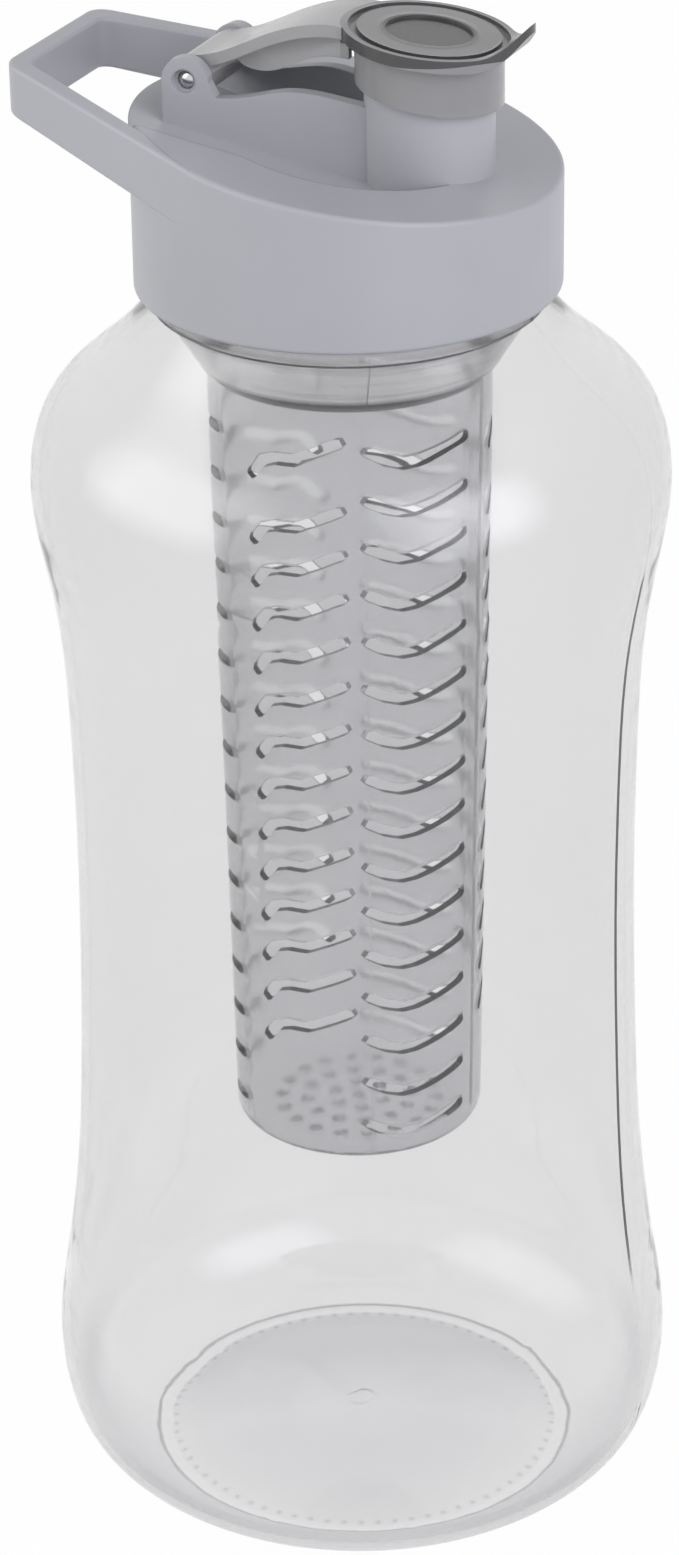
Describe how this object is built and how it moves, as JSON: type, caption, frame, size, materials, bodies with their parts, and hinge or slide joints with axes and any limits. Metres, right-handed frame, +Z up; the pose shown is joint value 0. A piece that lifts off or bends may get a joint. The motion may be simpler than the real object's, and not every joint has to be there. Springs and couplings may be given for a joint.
{
  "type": "fruit infuser water bottle",
  "caption": "Clear waisted water bottle with a screw cap, carrying loop, flip cover over the spout and a slotted infuser basket hanging inside.",
  "frame": {"origin": "centre of the foot, on the surface the bottle stands on", "axes": "+Z up along the bottle's axis, +X towards the spout, carrying loop towards -X"},
  "size_m": [0.1172, 0.1172, 0.2889],
  "materials": {
    "clear_bottle": "clear gloss",
    "clear_basket": "clear gloss",
    "grey_cap": "satin",
    "white_silicone": "matte",
    "pin_steel": "polished",
    "smoky_cover": "smoky gloss",
    "plug_silicone": "matte"
  },
  "bodies": {
    "bottle": {"bottle_body": "clear_bottle"},
    "gasket": {"cap_gasket": "white_silicone"},
    "cap": {"cap_shell": "grey_cap", "hinge_pin": "pin_steel", "basket_seal": "white_silicone"},
    "cover": {"flip_cover": "smoky_cover", "spout_plug": "plug_silicone"},
    "basket": {"infuser_basket": "clear_basket"}
  },
  "joints": [
    {"name": "cap_rise", "type": "slide", "parent": "bottle", "child": "gasket", "axis": [0, 0, 1], "range_m": [0, 0.01]},
    {"name": "cap_turn", "type": "hinge", "parent": "gasket", "child": "cap", "pos_m": [0, 0, 0.246], "axis": [0, 0, 1], "range_deg": [0, 450]},
    {"name": "cover_flip", "type": "hinge", "parent": "cap", "child": "cover", "pos_m": [-0.0253, 0, 0.2755], "axis": [0, -1, 0], "range_deg": [0, 140]},
    {"name": "basket_release", "type": "slide", "parent": "cap", "child": "basket", "axis": [0, 0, -1], "range_m": [0, 0.06]}
  ],
  "couplings": [
    {"joint": "cap_rise", "follows": "cap_turn", "m_per_rad": 0.0012732}
  ]
}
